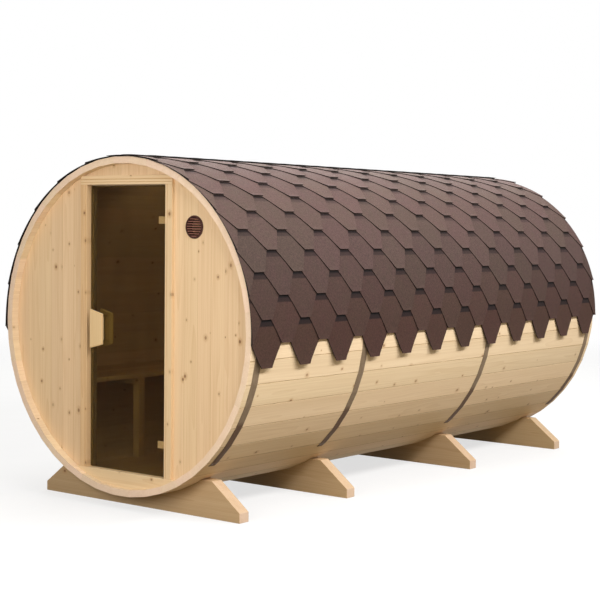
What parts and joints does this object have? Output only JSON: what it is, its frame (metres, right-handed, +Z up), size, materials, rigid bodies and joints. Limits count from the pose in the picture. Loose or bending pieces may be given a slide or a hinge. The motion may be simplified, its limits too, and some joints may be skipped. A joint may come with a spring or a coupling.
{
  "type": "barrel sauna",
  "caption": "Horizontal barrel sauna of pine staves on wooden cradles, with steel bands, a shingled roof skin and a hinged tinted glass door in its recessed front wall.",
  "frame": {"origin": "on the ground under the middle of the barrel", "axes": "+Y along the barrel away from the door, +Z up, +X to the right seen from the front"},
  "size_m": [1.9862, 4.016, 2.0535],
  "materials": {
    "staves": "planed pine, unpainted",
    "walls": "planed pine boards, unpainted",
    "door_frame": "planed pine, unpainted",
    "interior": "planed pine, unpainted",
    "cradles": "sawn pine, unpainted",
    "handles": "planed pine, unpainted",
    "bands": "flat steel strip, dark brown-grey",
    "roof": "granule-faced bitumen shingle, dark brown",
    "vent": "moulded, brown",
    "hinges": "satin",
    "glass": "bronze tinted, polished"
  },
  "bodies": {
    "building": {"staves_top_even": "staves", "staves_top_odd": "staves", "staves_right_even": "staves", "staves_right_odd": "staves", "staves_bottom_even": "staves", "staves_bottom_odd": "staves", "staves_left_even": "staves", "staves_left_odd": "staves", "front_wall_left": "walls", "front_wall_right": "walls", "front_wall_top": "walls", "front_wall_bottom": "walls", "back_wall": "walls", "door_jamb_left": "door_frame", "door_jamb_right": "door_frame", "door_head": "door_frame", "door_sill": "door_frame", "vent_grille": "vent", "floor_deck": "interior", "floor_joists": "interior", "bench_seat": "interior", "bench_bearers": "interior", "bench_posts": "interior", "cradle_front": "cradles", "cradle_mid_front": "cradles", "cradle_mid_rear": "cradles", "cradle_rear": "cradles", "band_front": "bands", "band_mid_front": "bands", "band_mid_rear": "bands", "band_rear": "bands", "roof_skin": "roof", "hinge_leaves": "hinges"},
    "door": {"door_glass": "glass", "hinge_clamps": "hinges", "handle_outer": "handles", "handle_inner": "handles"}
  },
  "joints": [
    {"name": "door_hinge", "type": "hinge", "parent": "building", "child": "door", "pos_m": [0.305, -1.946, 1.043], "axis": [0, 0, 1], "range_deg": [0, 100]}
  ]
}
